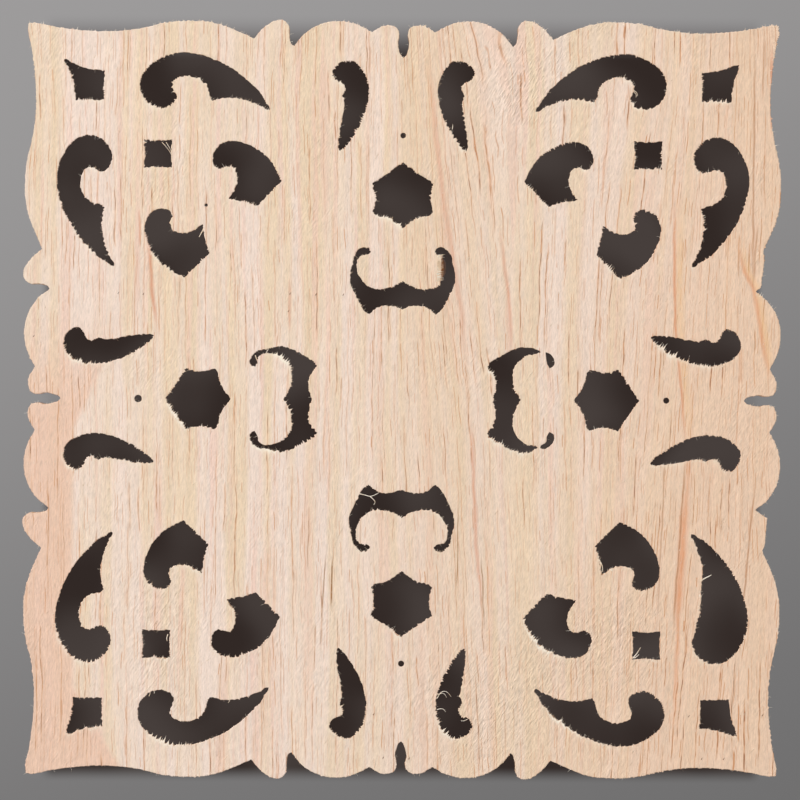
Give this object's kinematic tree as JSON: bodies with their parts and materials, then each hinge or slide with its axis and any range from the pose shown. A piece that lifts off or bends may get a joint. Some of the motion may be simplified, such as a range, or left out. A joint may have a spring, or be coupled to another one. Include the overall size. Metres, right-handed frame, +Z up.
{
  "type": "pierced wood applique",
  "caption": "Square unfinished wood applique, sawn through with scrolls, leaves, commas and stars, flat on both faces, to glue on a door, drawer or wall.",
  "frame": {"origin": "middle of the flat glue face, behind the centre of the ornament", "axes": "+Y out of the glue face, into what the panel is fixed to; +Z up, along the grain; +X to the right seen from the front"},
  "size_m": [0.0997, 0.006, 0.0998],
  "materials": {
    "wood": "sawn and unfinished, matte"
  },
  "bodies": {
    "root": {"pierced_panel": "wood"}
  },
  "joints": []
}
